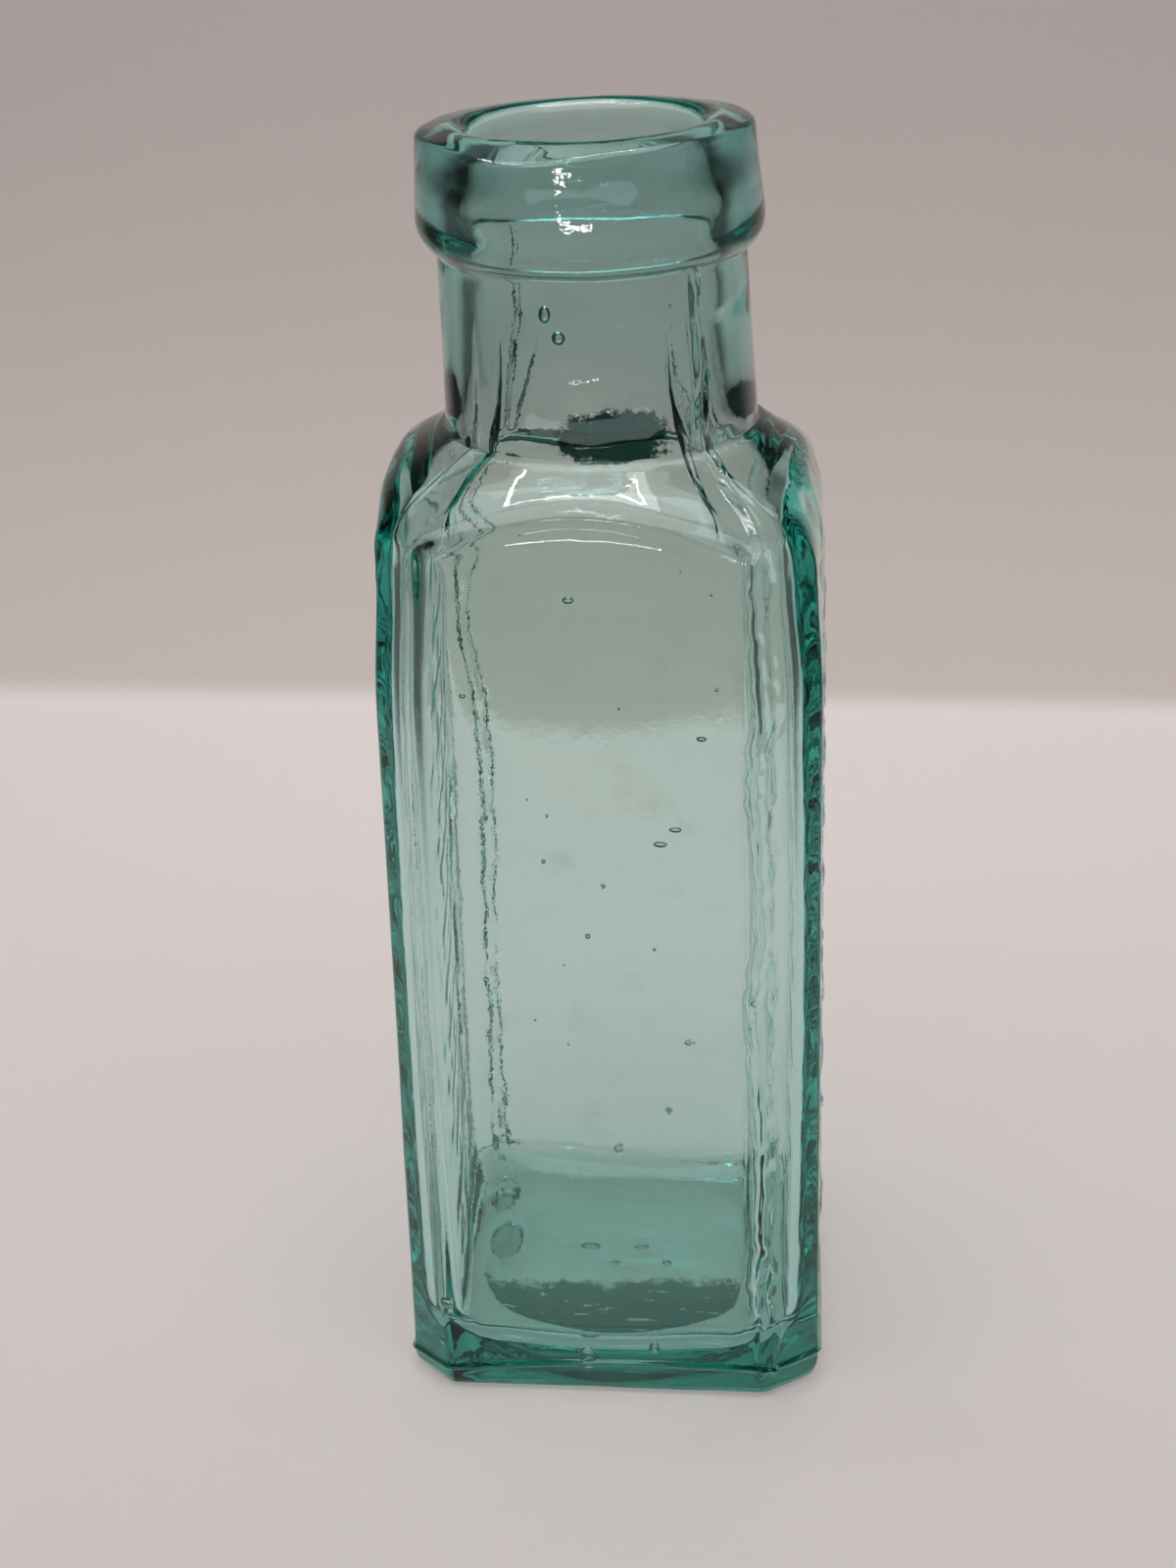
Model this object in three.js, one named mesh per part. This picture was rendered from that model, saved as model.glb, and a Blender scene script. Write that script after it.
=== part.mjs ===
// Lemonade bottle: mould-blown aqua glass, square with chamfered corners, a round neck and a slanted collar lip.
// Units are millimetres and +Z is up. The origin is the centre of the base, on the surface the bottle stands on.
// The glass is one wall all the way up. It is divided across that wall into the five regions that a
// glassmaker names: base, body, shoulder, neck and lip. Neighbours share the ring where they meet.
import * as THREE from "three";

// Body
const BODY_WIDTH = 37; // across the flats of the square
const CORNER_CHAMFER = 3.8; // leg of each chamfered corner
const EDGE_ROUND = 0.9; // radius along both edges of a chamfer
const WALL = 2.1; // glass thickness of the panels
const CAVITY_CORNER = 4; // corner radius of the square hollow

// Base
const HEEL_HEIGHT = 3; // height of the rounded heel
const HEEL_INSET = 1.3; // how far the heel draws in at the bottom
const BEARING_WIDTH = 4.7; // flat ring that the bottle stands on, across the middle of a panel
const PUSH_UP_HEIGHT = 1.4; // shallow hollow under the base, inside the bearing ring
const FLOOR_THICKNESS = 3.3; // at the centre, over the push-up
const FLOOR_DISH = 0.7; // how far the inside floor sinks towards its centre
const FLOOR_FILLET = 3.4; // radius between the floor and the inside walls

// Shoulder
const SHOULDER_START = 79; // height where the panels begin to turn in
const SHOULDER_RISE = 9.4; // height of the turn, up to the foot of the neck
const SHOULDER_UPRIGHT = 0.85; // share of the rise over which the turn keeps to the vertical
const SHOULDER_TOP = 0.75; // share of the way in over which it keeps to its top slope
const SHOULDER_TOP_SLOPE = 40; // degrees that this slope falls away from the neck
const SHOULDER_WALL = 2.4; // glass thickness at the top of the turn

// Neck
const NECK_LENGTH = 15.8; // from its foot to the underside of the collar
const NECK_FOOT_RADIUS = 13.4;
const NECK_TOP_RADIUS = 13.05;
const NECK_WALL = 2.75; // glass thickness at its top
const NECK_FOOT_FILLET = 0.7;
const NECK_LEAN = 1.9; // degrees that the hand-finished neck leans towards -X

// Lip
const COLLAR_OVERHANG = 1.65; // its widest ring beyond the neck, just above the underside
const COLLAR_UNDERSIDE = 2.5; // height of the rounded underside
const COLLAR_SIDE = 7.3; // height of the side, from the widest ring to the rim
const COLLAR_TAPER = 0.6; // how far the side draws in towards the rim
const RIM_ROUND = 0.6; // radius of the outer edge of the top face
const TOP_FACE_WIDTH = 3.2; // from the rim in to the crown, the highest ring
const CROWN_RISE = 0.4; // above the rim
const MOUTH_ROUND = 1.7; // from the crown in to the mouth
const MOUTH_DEPTH = 1.5; // from the crown down to the narrowest ring of the mouth
const LIP_SLANT = 2.4; // degrees that the sheared top face climbs
const LIP_SLANT_HEADING = -55; // the way it climbs, in degrees from +X
const RIM_DIP = 1; // depth of the low spot that the shears left in the rim
const RIM_DIP_HEADING = -110; // where the low spot lies, in degrees from +X
const RIM_DIP_SPREAD = 40; // degrees to each side of it

// Facets
const FLAT_STEPS = 10; // along each panel
const CHAMFER_STEPS = 2; // along each chamfer
const ROUND_STEPS = 2; // along each edge round
const CORNER_STEPS = CHAMFER_STEPS + 2 * ROUND_STEPS;
const TURN_STEPS = 8; // up the shoulder
const CURVE_STEPS = 4; // along the smaller curves of the profile

// Heights and radii that follow from the sizes above
const PUSH_UP_RADIUS = BODY_WIDTH / 2 - HEEL_INSET - BEARING_WIDTH;
const FLOOR_CENTRE = PUSH_UP_HEIGHT + FLOOR_THICKNESS;
const BASE_TOP = FLOOR_CENTRE + FLOOR_DISH + FLOOR_FILLET;
const NECK_FOOT = SHOULDER_START + SHOULDER_RISE;
const NECK_TOP = NECK_FOOT + NECK_LENGTH;
const COLLAR_WIDEST = NECK_TOP + COLLAR_UNDERSIDE;
const RIM_HEIGHT = COLLAR_WIDEST + COLLAR_SIDE;
const CROWN_HEIGHT = RIM_HEIGHT + CROWN_RISE;
const NECK_BORE_RADIUS = NECK_TOP_RADIUS - NECK_WALL;
const COLLAR_RADIUS = NECK_TOP_RADIUS + COLLAR_OVERHANG;
const RIM_RADIUS = COLLAR_RADIUS - COLLAR_TAPER;
const CROWN_RADIUS = RIM_RADIUS - TOP_FACE_WIDTH;
const MOUTH_RADIUS = CROWN_RADIUS - MOUTH_ROUND;

const AQUA_GLASS = {
  color: 0x9cc7bd,
  roughness: 0.06,
  metalness: 0,
  transparent: true,
  opacity: 0.55,
};

// Points along a curve, leaving out its end, which is the next curve's start.
function sample(curve, steps) {
  return Array.from({ length: steps }, (_, step) => curve.getPoint(step / steps));
}

// Values from 0 to 1.
function fractions(steps) {
  return Array.from({ length: steps + 1 }, (_, step) => step / steps);
}

// Repeats the points of the front panel and its right corner round the other three sides.
function aroundFourSides(quarter) {
  const axis = new THREE.Vector2();
  return [0, 1, 2, 3].flatMap((side) =>
    quarter.map((point) => point.clone().rotateAround(axis, (side * Math.PI) / 2)),
  );
}

// A square with chamfered corners whose edges are rounded, drawn in by an inset on every face.
function outerSection(inset) {
  const half = BODY_WIDTH / 2 - inset;
  const chamfer = CORNER_CHAMFER - inset * (2 - Math.SQRT2);
  const cut = EDGE_ROUND * Math.tan(Math.PI / 8); // length that a round takes from each edge
  const cutSkew = cut * Math.SQRT1_2;
  const frontEdge = new THREE.Vector2(half - chamfer, -half);
  const sideEdge = new THREE.Vector2(half, chamfer - half);
  const panelStart = new THREE.Vector2(chamfer - half + cut, -half);
  const panelEnd = new THREE.Vector2(frontEdge.x - cut, -half);
  const chamferStart = new THREE.Vector2(frontEdge.x + cutSkew, frontEdge.y + cutSkew);
  const chamferEnd = new THREE.Vector2(sideEdge.x - cutSkew, sideEdge.y - cutSkew);
  const sideStart = new THREE.Vector2(half, sideEdge.y + cut);
  return aroundFourSides([
    ...sample(new THREE.LineCurve(panelStart, panelEnd), FLAT_STEPS),
    ...sample(new THREE.QuadraticBezierCurve(panelEnd, frontEdge, chamferStart), ROUND_STEPS),
    ...sample(new THREE.LineCurve(chamferStart, chamferEnd), CHAMFER_STEPS),
    ...sample(new THREE.QuadraticBezierCurve(chamferEnd, sideEdge, sideStart), ROUND_STEPS),
  ]);
}

// The square hollow with its round corners, drawn in by an inset on every face.
function cavitySection(inset) {
  const half = BODY_WIDTH / 2 - WALL - inset;
  const corner = half - CAVITY_CORNER;
  const panelStart = new THREE.Vector2(-corner, -half);
  const panelEnd = new THREE.Vector2(corner, -half);
  const arc = new THREE.EllipseCurve(corner, -corner, CAVITY_CORNER, CAVITY_CORNER, -Math.PI / 2, 0);
  return aroundFourSides([
    ...sample(new THREE.LineCurve(panelStart, panelEnd), FLAT_STEPS),
    ...sample(arc, CORNER_STEPS),
  ]);
}

// A circle whose points lie in the same directions as those of the outer section.
const DIRECTIONS = outerSection(0).map((point) => point.clone().normalize());
function circleSection(radius) {
  return DIRECTIONS.map((direction) => direction.clone().multiplyScalar(radius));
}

// A section set at a height. Above the foot of the neck its centre follows the lean.
function ring(section, height) {
  const lean = Math.max(0, height - NECK_FOOT) * Math.tan(THREE.MathUtils.degToRad(NECK_LEAN));
  return section.map((point) => new THREE.Vector3(point.x - lean, point.y, height));
}

// How deep the low spot in the rim is in a direction: all of it at its middle, none past its spread.
function rimDip(direction) {
  const heading = THREE.MathUtils.degToRad(RIM_DIP_HEADING);
  const turn = direction.clone().rotateAround(new THREE.Vector2(), -heading);
  const share = Math.abs(Math.atan2(turn.y, turn.x)) / THREE.MathUtils.degToRad(RIM_DIP_SPREAD);
  return share < 1 ? (RIM_DIP * (1 + Math.cos(share * Math.PI))) / 2 : 0;
}

// A round ring of the lip. It tips with the slanted top face, by a share that grows from none at the
// widest ring of the collar to all at the rim. The low spot fades from the rim in to the crown.
function lipRing(radius, height) {
  const share = THREE.MathUtils.clamp((height - COLLAR_WIDEST) / COLLAR_SIDE, 0, 1);
  const slope = share * Math.tan(THREE.MathUtils.degToRad(LIP_SLANT));
  const heading = THREE.MathUtils.degToRad(LIP_SLANT_HEADING);
  const uphill = new THREE.Vector2(Math.cos(heading), Math.sin(heading));
  const dipShare = share * THREE.MathUtils.clamp((radius - CROWN_RADIUS) / TOP_FACE_WIDTH, 0, 1);
  const section = circleSection(radius);
  return ring(section, height).map((point, index) => {
    const climb = slope * section[index].dot(uphill);
    return point.setZ(height + climb - dipShare * rimDip(DIRECTIONS[index]));
  });
}

// A closed skin over rings that have as many points each. The rings go up the outside and down the
// inside, and the last one joins the first. A ring of one point is a pole that closes a floor.
function skin(rings) {
  const positions = rings.flat().flatMap((point) => point.toArray());
  const starts = [];
  rings.reduce((start, points) => {
    starts.push(start);
    return start + points.length;
  }, 0);
  const around = DIRECTIONS.length;
  const index = [];
  rings.forEach((points, number) => {
    const next = (number + 1) % rings.length;
    if (points.length === 1 && rings[next].length === 1) return;
    for (let step = 0; step < around; step += 1) {
      const after = (step + 1) % around;
      const low = starts[number];
      const high = starts[next];
      if (points.length === 1) index.push(low, high + after, high + step);
      else if (rings[next].length === 1) index.push(low + step, low + after, high);
      else {
        index.push(low + step, low + after, high + after);
        index.push(low + step, high + after, high + step);
      }
    }
  });
  const geometry = new THREE.BufferGeometry();
  geometry.setAttribute("position", new THREE.Float32BufferAttribute(positions, 3));
  geometry.setIndex(index);
  geometry.computeVertexNormals();
  return geometry;
}

function glassPiece(name, rings) {
  const mesh = new THREE.Mesh(skin(rings), new THREE.MeshStandardMaterial(AQUA_GLASS));
  mesh.name = name;
  return mesh;
}

// Base: a thick floor on a flat bearing ring, hollowed underneath, with a rounded heel and a dished inside.
function makeBase() {
  const quarter = fractions(CURVE_STEPS).map((share) => (share * Math.PI) / 2);
  const pushUp = fractions(CURVE_STEPS)
    .slice(1)
    .map((share) => ring(circleSection(PUSH_UP_RADIUS * share), PUSH_UP_HEIGHT * (1 - share * share)));
  const heel = quarter.map((turn) =>
    ring(outerSection(HEEL_INSET * (1 - Math.sin(turn))), HEEL_HEIGHT * (1 - Math.cos(turn))),
  );
  const fillet = quarter.map((turn) =>
    ring(cavitySection(FLOOR_FILLET * (1 - Math.cos(turn))), BASE_TOP - FLOOR_FILLET * Math.sin(turn)),
  );
  return glassPiece("base", [
    [new THREE.Vector3(0, 0, PUSH_UP_HEIGHT)],
    ...pushUp,
    ...heel,
    ring(outerSection(0), BASE_TOP),
    ...fillet,
    [new THREE.Vector3(0, 0, FLOOR_CENTRE)],
  ]);
}

// Body: four flat panels with chamfered corners round a square hollow.
function makeBody() {
  return glassPiece("body", [
    ring(outerSection(0), BASE_TOP),
    ring(outerSection(0), SHOULDER_START),
    ring(cavitySection(0), SHOULDER_START),
    ring(cavitySection(0), BASE_TOP),
  ]);
}

// The shoulder's profile over one point of the section: the way in towards the neck, against height.
// A corner has further to go than the middle of a panel, and both keep the same slope at the top.
function shoulderProfile(run, rise) {
  const fall = run * SHOULDER_TOP * Math.tan(THREE.MathUtils.degToRad(SHOULDER_TOP_SLOPE));
  return new THREE.CubicBezierCurve(
    new THREE.Vector2(0, 0),
    new THREE.Vector2(0, rise * SHOULDER_UPRIGHT),
    new THREE.Vector2(run * (1 - SHOULDER_TOP), rise - fall),
    new THREE.Vector2(run, rise),
  );
}

// Rings of the shoulder, from the square where it starts to the circle at the foot of the neck.
function shoulderRings(square, circle, rise) {
  const profiles = square.map((point, index) => shoulderProfile(point.distanceTo(circle[index]), rise));
  return fractions(TURN_STEPS).map((share) =>
    square.map((point, index) => {
      const { x: way, y: climb } = profiles[index].getPoint(share);
      const inward = circle[index].clone().sub(point).setLength(way);
      return new THREE.Vector3(point.x + inward.x, point.y + inward.y, SHOULDER_START + climb);
    }),
  );
}

// Shoulder: turns the square body into the round neck, inside and out.
function makeShoulder() {
  const outside = circleSection(NECK_FOOT_RADIUS + NECK_FOOT_FILLET);
  const bore = circleSection(NECK_BORE_RADIUS);
  const inside = shoulderRings(cavitySection(0), bore, SHOULDER_RISE - SHOULDER_WALL);
  return glassPiece("shoulder", [
    ...shoulderRings(outerSection(0), outside, SHOULDER_RISE),
    ring(bore, NECK_FOOT),
    ...inside.reverse(),
  ]);
}

// Neck: a tapering tube that springs from the shoulder with a small fillet.
function makeNeck() {
  const fillet = new THREE.QuadraticBezierCurve(
    new THREE.Vector2(NECK_FOOT_RADIUS + NECK_FOOT_FILLET, NECK_FOOT),
    new THREE.Vector2(NECK_FOOT_RADIUS, NECK_FOOT),
    new THREE.Vector2(NECK_FOOT_RADIUS, NECK_FOOT + NECK_FOOT_FILLET),
  );
  return glassPiece("neck", [
    ...fillet.getPoints(CURVE_STEPS).map(({ x, y }) => ring(circleSection(x), y)),
    ring(circleSection(NECK_TOP_RADIUS), NECK_TOP),
    ring(circleSection(NECK_BORE_RADIUS), NECK_TOP),
    ring(circleSection(NECK_BORE_RADIUS), NECK_FOOT),
  ]);
}

// Lip: a thick collar with a rounded underside, a tapering side and a domed top face that was sheared
// off on a slant.
function makeLip() {
  const underside = fractions(CURVE_STEPS).map((share) => {
    const turn = (share * Math.PI) / 2;
    const radius = NECK_TOP_RADIUS + (COLLAR_RADIUS - NECK_TOP_RADIUS) * Math.sin(turn);
    return lipRing(radius, COLLAR_WIDEST - COLLAR_UNDERSIDE * Math.cos(turn));
  });
  const rim = new THREE.QuadraticBezierCurve(
    new THREE.Vector2(RIM_RADIUS, RIM_HEIGHT - RIM_ROUND),
    new THREE.Vector2(RIM_RADIUS, RIM_HEIGHT),
    new THREE.Vector2(RIM_RADIUS - RIM_ROUND, RIM_HEIGHT + (CROWN_RISE * RIM_ROUND) / TOP_FACE_WIDTH),
  );
  const mouth = new THREE.QuadraticBezierCurve(
    new THREE.Vector2(CROWN_RADIUS, CROWN_HEIGHT),
    new THREE.Vector2(MOUTH_RADIUS, CROWN_HEIGHT),
    new THREE.Vector2(MOUTH_RADIUS, CROWN_HEIGHT - MOUTH_DEPTH),
  );
  const profile = [...rim.getPoints(CURVE_STEPS), ...mouth.getPoints(CURVE_STEPS)];
  return glassPiece("lip", [
    ...underside,
    ...profile.map(({ x, y }) => lipRing(x, y)),
    lipRing(NECK_BORE_RADIUS, NECK_TOP),
  ]);
}

const bottle = new THREE.Group();
bottle.name = "lemonade_bottle";
bottle.add(makeBase(), makeBody(), makeShoulder(), makeNeck(), makeLip());

export default bottle;
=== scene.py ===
"""Aqua glass lemonade bottle in soft studio light, seen from the photograph's place.

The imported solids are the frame. One fine skin of glass, outside and inside in a single closed surface,
stands for all of them, because the real bottle is one wall of glass with no joins in it.
Sizes in this file are in millimetres in the part's own frame, and become metres where objects and
materials are made.
"""
import math

import bpy
import numpy as np
from mathutils import Matrix, Vector, noise


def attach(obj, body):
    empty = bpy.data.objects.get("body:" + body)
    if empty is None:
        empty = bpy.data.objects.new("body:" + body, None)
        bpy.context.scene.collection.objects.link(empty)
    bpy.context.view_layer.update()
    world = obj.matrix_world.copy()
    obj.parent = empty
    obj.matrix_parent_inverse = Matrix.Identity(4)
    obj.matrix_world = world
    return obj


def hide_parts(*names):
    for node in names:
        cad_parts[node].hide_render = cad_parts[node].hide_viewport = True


MM = 0.001

# Camera of the photograph, in the part's frame
CAMERA_PLACE = (24.94, -239.92, 163.25)
CAMERA_HEADING = 6.441  # degrees that it looks to the left of +Y
CAMERA_PITCH = 24.344  # degrees that it looks down
CAMERA_ROLL = -1.702  # degrees round the way it looks
CAMERA_LENS = 66.75
CAMERA_SENSOR = 36.0  # on the long side of the picture
CAMERA_NEAR = 10.0  # nothing nearer than this is drawn

# Body
BODY_WIDTH = 37.0
CORNER_CHAMFER = 3.8
EDGE_ROUND = 1.1
WALL = 2.0
WALL_BOW = 0.5  # how much thicker a panel is at its top and foot than at its middle
CAVITY_CORNER = 4.2

# Base
HEEL_HEIGHT = 3.0
HEEL_INSET = 1.0
HEEL_INSET_POWER = 0.9  # these two powers shape the curve of the heel
HEEL_RISE_POWER = 1.15
HEEL_WAVES = ((0.95, 2, 3.75), (0.35, 3, 1.1))  # height, waves round the bottle, and phase in radians
CREASE_HEIGHT = 0.3  # the heel's top edge stands proud in a thin wandering line
CREASE_WIDTH = 0.26
CREASE_FADE = 0.8  # how much of it is gone at the back
CREASE_OFFSETS = (-0.45, -0.3, -0.15, 0.0, 0.15, 0.3, 0.45)  # fine rings below and above it
LEVEL_ABOVE_HEEL = 2.2  # above the heel, the height where the rings lie level again
BEARING_WIDTH = 4.0
BEARING_ROUND = 0.35  # how far the foot's edge rises from the ring that touches the table
PUSH_UP_HEIGHT = 1.2
PUSH_UP_POWER = 6.0  # how steep its rim is at the front
PUSH_UP_FADE = 0.97  # share of its height that it loses towards the back
FLOOR_EDGE = 3.1
FLOOR_RISE = 0.3
FLOOR_HALF = 13.4
FLOOR_ROUNDNESS = 0.65  # how far the floor's outline goes from a square to a circle
CAVITY_FOOT = 8.0

# Shoulder
SHOULDER_START = 79.0
SHOULDER_RISE = 9.6
SHOULDER_UPRIGHT = 0.85  # share of the rise for which a panel runs on upwards
CORNER_UPRIGHT = 0.6  # the same for a corner
SHOULDER_TOP = 0.75  # share of the way in for which the top slope pulls
SHOULDER_TOP_SLOPE = 36.0
SHOULDER_WALL = 2.3
SHOULDER_INSIDE = 0.55  # share of the shoulder's way up where its inside turns into the neck
INSIDE_BLEND = 0.75  # share of the way up by which the inside has left the square hollow
INSIDE_LOW_PULL = 0.5
INSIDE_HIGH_PULL = 0.55
THINNEST = 1.2  # glass left where the inside turns into the neck
THINNEST_SOFTNESS = 0.4

# Neck
NECK_FOOT_RADIUS = 13.4
NECK_TOP_RADIUS = 13.05
NECK_TOP = 104.2
NECK_FOOT_FILLET = 0.5
NECK_BORE_RADIUS = 10.3
NECK_LEAN = 1.9
BORE_FLARE = 10.0  # height above the neck's foot where the bore starts to open into the shoulder

# Lip
COLLAR_RADIUS = 14.7
COLLAR_UNDERSIDE = 2.5
COLLAR_SIDE = 7.3
COLLAR_BORE_RADIUS = 10.9  # the hollow follows the collar a little, as it was blown
BORE_WIDENS_BELOW = 2.0  # the hollow widens from this far below the collar
BORE_WIDENS_ABOVE = 1.5  # to this far above its widest ring
BORE_CLOSES_ABOVE = 1.0  # and closes from this far above that ring
BORE_CLOSES_PAST = 0.5  # to this far past the top of the bore
RIM_RADIUS = 14.1
RIM_ROUND = 0.5
CROWN_RADIUS = 11.2
CROWN_RISE = 0.4
MOUTH_RADIUS = 9.5
MOUTH_DEPTH = 1.8
LIP_SLANT = 2.4
LIP_SLANT_HEADING = -55.0
RIM_DIP = 1.0
RIM_DIP_HEADING = -110.0
RIM_DIP_SPREAD = 40.0

# Crooked form of the hand-made bottle. A pair is the range over which something sets in or fades out.
CORNER_TUCK = 0.03  # the corners draw in below the shoulder
CORNER_TUCK_DIAGONAL = (0.55, 0.95)  # from 0 at a panel's middle to 1 at a corner
CORNER_TUCK_IN = (68.0, 80.0)
CORNER_TUCK_OUT = (80.0, 88.0)
SHOULDER_SHIFT = 0.55  # the upper shoulder sits a little to the left
SHOULDER_SHIFT_IN = (80.0, 85.0)
SHOULDER_SHIFT_OUT = (86.5, 88.5)
RIGHT_FLARE = 0.1  # the right panel stands out below the shoulder
RIGHT_FLARE_ACROSS = (0.0, 15.0)
RIGHT_FLARE_IN = (55.0, 77.0)
RIGHT_FLARE_OUT = (80.0, 86.0)
RIGHT_TURN = 1.0  # how much further out the right panel's front edge stands than its back edge
RIGHT_TURN_REACH = 15.0
RIGHT_TURN_ACROSS = (13.0, 18.0)

# Mould seams: two strands of crinkled fin on opposite corners
SEAM_HEIGHT = 0.5
SEAM_WIDTH = 0.24
SEAM_STRANDS = (-0.5, 0.5)
SEAM_STRAND_GAP = 0.8
SEAM_WANDER = 0.35
SEAM_WANDER_WAVES = (1.7, 6.0)
SEAM_MEAN = 0.75  # share of its full height that a strand has on average
SEAM_UNEVEN = 0.5
SEAM_UNEVEN_WAVES = (1.6, 5.0)
SEAM_SEED = 11
SEAM_SIDE_SEED = 5  # what the second seam's seed adds
SEAM_ZONES = ("crease", "body", "shoulder", "neck")

# Hammered look of the left and right panels
RIPPLE_HEIGHT = 0.25
RIPPLE_WAVE = 2.6
RIPPLE_STRETCH = 0.8
RIPPLE_FADE = (9.0, 13.0)  # from the panel's middle, it fades over this range
RIPPLE_DEPTHS = (1.2, 0.2)  # how far inside the panel's face it starts, and is full
RIPPLE_SEED = 8

# Plain raised bars in a column on the left and right panels
BAR_HEIGHT = 0.3
BAR_LENGTH = 11.0
BAR_WIDTH = 2.3
BAR_PITCH = 5.8
BAR_FIRST = 13.0
BAR_COUNT = 11
BAR_SLANT = 0.18
BAR_SOFTNESS = 0.8
BAR_DEPTH = 0.3  # points that lie less than this inside the panel's face carry the bars

# How uneven the glass is, by zone: long waves and their length, short waves and their length
UNEVEN = {
    "under": (0.0, 9.0, 0.0, 3.0),
    "heel": (0.08, 9.0, 0.03, 3.0),
    "crease": (0.05, 13.0, 0.015, 3.0),
    "body": (0.05, 13.0, 0.012, 3.5),
    "shoulder": (0.08, 9.0, 0.02, 3.0),
    "neck": (0.07, 9.0, 0.015, 3.0),
    "lip": (0.12, 7.0, 0.03, 2.5),
    "bore": (0.14, 10.0, 0.02, 4.0),
    "inner_shoulder": (0.22, 12.0, 0.04, 4.0),
    "cavity": (0.16, 17.0, 0.02, 5.0),
    "floor": (0.2, 10.0, 0.06, 4.0),
}
OUTER_ZONES = ("under", "heel", "crease", "body", "shoulder", "neck", "lip")
OUTER_SEED = 1
INNER_SEED = 2
SHORT_WAVE_SEED = 2  # what the short waves' seed adds
WAVE_SHIFT = (17.3, 5.1, 9.7)  # how far one seed moves the noise
WANDER_SHIFT = (7.7, 3.3)

# Bubbles in the glass: centre and half sizes
BUBBLES = (
    ((-13.3, 10.6, 2.0), (1.75, 3.0, 0.8)),
    ((-11.8, 3.0, 2.0), (1.6, 3.2, 0.12)),
    ((-3.5, 2.5, 2.3), (1.0, 0.6, 0.35)),
    ((1.6, 2.2, 2.4), (0.75, 0.4, 0.22)),
    ((-0.8, 0.0, 2.2), (0.65, 0.35, 0.2)),
    ((4.2, 0.0, 2.2), (0.5, 0.4, 0.25)),
    ((-13.9, 14.5, 4.6), (0.5, 0.45, 0.45)),
    ((-1.9, 17.0, 5.0), (0.5, 0.4, 0.42)),
    ((3.5, 17.3, 9.7), (0.3, 0.3, 0.3)),
    ((-1.75, -16.9, 3.6), (1.0, 0.75, 1.15)),
    ((4.5, -17.2, 5.0), (0.55, 0.5, 0.6)),
    ((-14.4, -16.9, 9.0), (0.55, 0.5, 0.6)),
    ((-1.36, -17.3, 78.6), (0.5, 0.25, 0.3)),
    ((9.5, -17.4, 66.4), (0.45, 0.3, 0.24)),
    ((-0.55, -17.5, 47.7), (0.24, 0.24, 0.26)),
    ((-3.0, 17.5, 35.4), (0.26, 0.26, 0.24)),
    ((-4.15, -17.5, 54.8), (0.2, 0.2, 0.2)),
    ((5.6, 17.4, 17.9), (0.5, 0.3, 0.3)),
    ((7.2, -17.45, 58.0), (0.55, 0.22, 0.25)),
    ((5.9, -17.45, 56.6), (0.6, 0.22, 0.28)),
    ((-8.2, 17.5, 43.0), (0.22, 0.22, 0.24)),
    ((8.6, 17.5, 57.0), (0.24, 0.24, 0.3)),
    ((-10.5, -17.5, 70.0), (0.3, 0.22, 0.2)),
    ((-3.1, -11.35, 101.0), (0.5, 0.4, 0.75)),
    ((-2.05, -11.6, 99.1), (0.55, 0.4, 0.6)),
    ((6.5, 9.6, 96.0), (0.25, 0.25, 0.3)),
)
BUBBLE_RINGS = 7
BUBBLE_SIDES = 12

# Grain of the skin: points round a quarter of a ring
EDGE_OFFSETS = (0.0, 0.15, 0.4, 0.8)  # close points at each end of a panel, where the seams run
PANEL_STEPS = 27
FLAT_STEPS = PANEL_STEPS + 2 * len(EDGE_OFFSETS) - 2
ROUND_STEPS = 5
CHAMFER_STEPS = 12
QUARTER_STEPS = FLAT_STEPS + CHAMFER_STEPS + 2 * ROUND_STEPS
AROUND = 4 * QUARTER_STEPS
SEAM_ON_BODY = FLAT_STEPS + ROUND_STEPS / 2  # where a seam runs, counted in points round a ring
SEAM_ON_NECK = FLAT_STEPS + ROUND_STEPS + CHAMFER_STEPS / 2

# Grain of the skin: rings along each stretch of the profile
UNDER_STEPS = 22
UNDER_CROWDING = 1.5  # the rings crowd towards the rim of the push-up
BEARING_STEPS = 6
HEEL_STEPS = 8
LEVELLING_STEPS = 4
BODY_PITCH = 0.5
SHOULDER_STEPS = 30
FILLET_SHARES = (0.35, 0.7, 1.0)
NECK_PITCH = 0.6
COLLAR_STEPS = 10
COLLAR_SIDE_STEPS = 13
RIM_STEPS = 5
CROWN_STEPS = 6
MOUTH_STEPS = 7
BORE_PITCH = 0.8
INSIDE_STEPS = 12
CAVITY_PITCH = 1.3
FLOOR_CURVE_STEPS = 8
FLOOR_STEPS = 24

# Sizes that follow from the others
NECK_FOOT = SHOULDER_START + SHOULDER_RISE
COLLAR_WIDEST = NECK_TOP + COLLAR_UNDERSIDE
RIM_HEIGHT = COLLAR_WIDEST + COLLAR_SIDE
CROWN_HEIGHT = RIM_HEIGHT + CROWN_RISE
BORE_TOP = CROWN_HEIGHT - MOUTH_DEPTH
PUSH_UP_RADIUS = BODY_WIDTH / 2 - HEEL_INSET - BEARING_WIDTH

# Glass
GLASS_INDEX = 1.52
GLASS_TINT = (0.06, 0.77, 0.72, 1)
GLASS_TINT_DENSITY = 100.0  # for each metre of glass
SKIN_BUMP = 0.02  # depth of the faint ripple in the skin
SKIN_BUMP_STRENGTH = 0.5

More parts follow.
